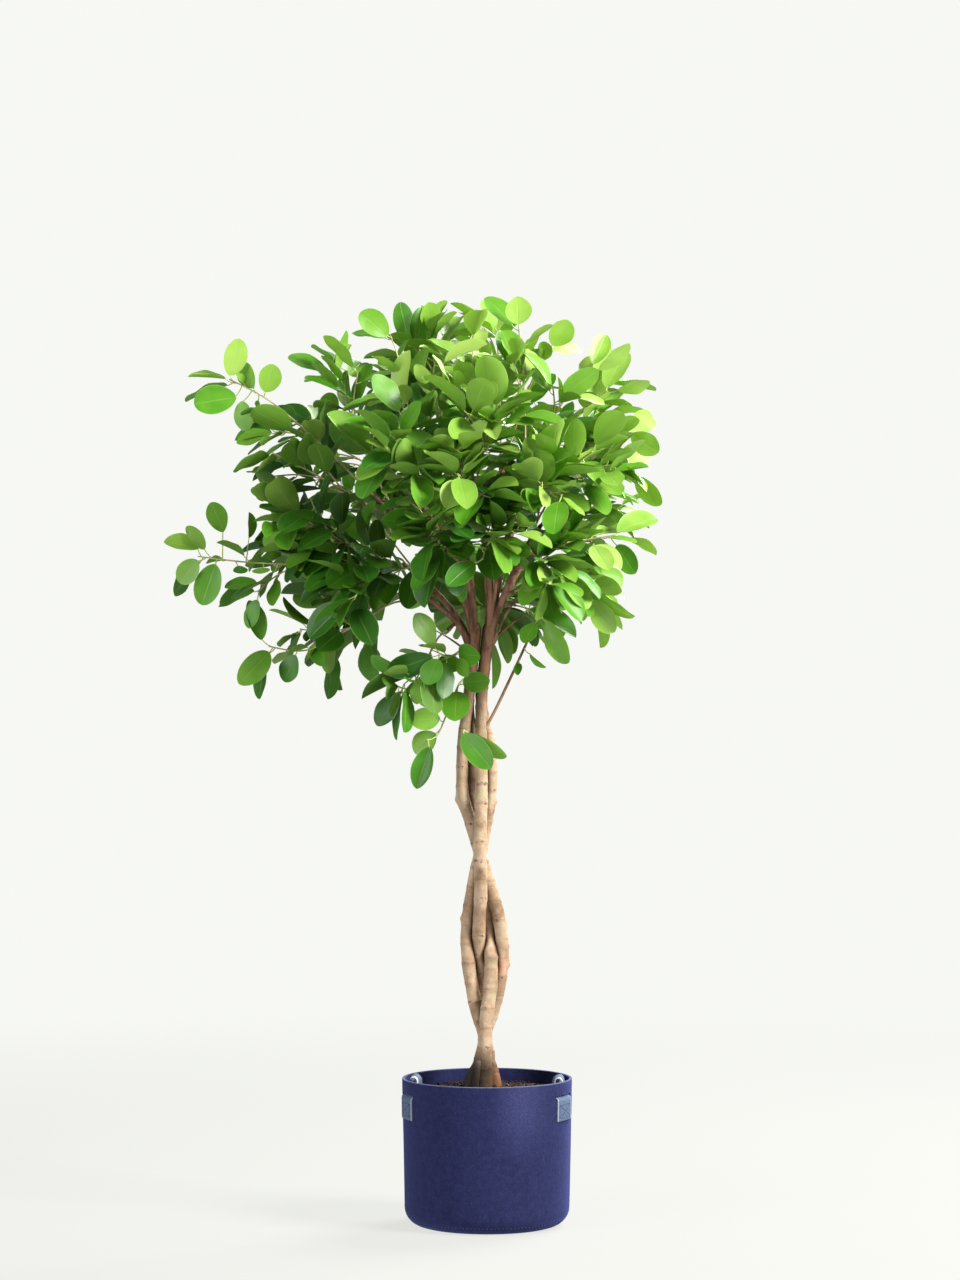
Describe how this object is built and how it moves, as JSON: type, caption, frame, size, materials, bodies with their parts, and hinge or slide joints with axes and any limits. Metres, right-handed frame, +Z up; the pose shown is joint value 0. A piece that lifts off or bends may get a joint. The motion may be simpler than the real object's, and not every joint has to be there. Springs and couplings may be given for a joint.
{
  "type": "potted ficus",
  "caption": "Potted ficus with braided stems and a leafy crown, standing in a soft felt planter bag with webbing handles.",
  "frame": {"origin": "centre of the planter bag's flat base, on the surface that it stands on", "axes": "+Z up along the stems, -Y towards the front of the bag, +X to the right seen from the front"},
  "size_m": [0.7006, 0.5105, 1.3069],
  "materials": {
    "felt": "matte",
    "webbing": "matte",
    "soil": "matte",
    "bark": "matte",
    "leaf": "satin"
  },
  "bodies": {
    "root": {"pot": "felt", "soil": "soil", "handle_left": "webbing", "handle_right": "webbing", "stem_left": "bark", "stem_front": "bark", "stem_right": "bark", "stem_back": "bark", "branch_01": "leaf", "branch_02": "leaf", "branch_03": "leaf", "branch_04": "leaf", "branch_05": "leaf", "branch_06": "leaf", "branch_07": "leaf", "branch_08": "leaf", "branch_09": "leaf", "branch_10": "leaf", "branch_11": "leaf", "branch_12": "leaf", "branch_13": "leaf", "branch_14": "leaf", "branch_15": "leaf", "branch_16": "leaf", "branch_17": "leaf", "branch_18": "leaf", "branch_19": "leaf", "branch_20": "leaf", "branch_21": "leaf", "branch_22": "leaf", "branch_23": "leaf", "branch_24": "leaf", "branch_25": "leaf", "branch_26": "leaf", "branch_27": "leaf", "branch_28": "leaf", "branch_29": "leaf", "branch_30": "leaf", "branch_31": "leaf", "branch_32": "leaf", "branch_33": "leaf", "branch_34": "leaf", "branch_35": "leaf", "branch_36": "leaf", "branch_37": "leaf", "branch_38": "leaf", "branch_39": "leaf", "branch_40": "leaf", "branch_41": "leaf", "branch_42": "leaf", "branch_43": "leaf", "branch_44": "leaf", "branch_45": "leaf", "branch_46": "leaf", "branch_47": "leaf", "branch_48": "leaf"}
  },
  "joints": []
}
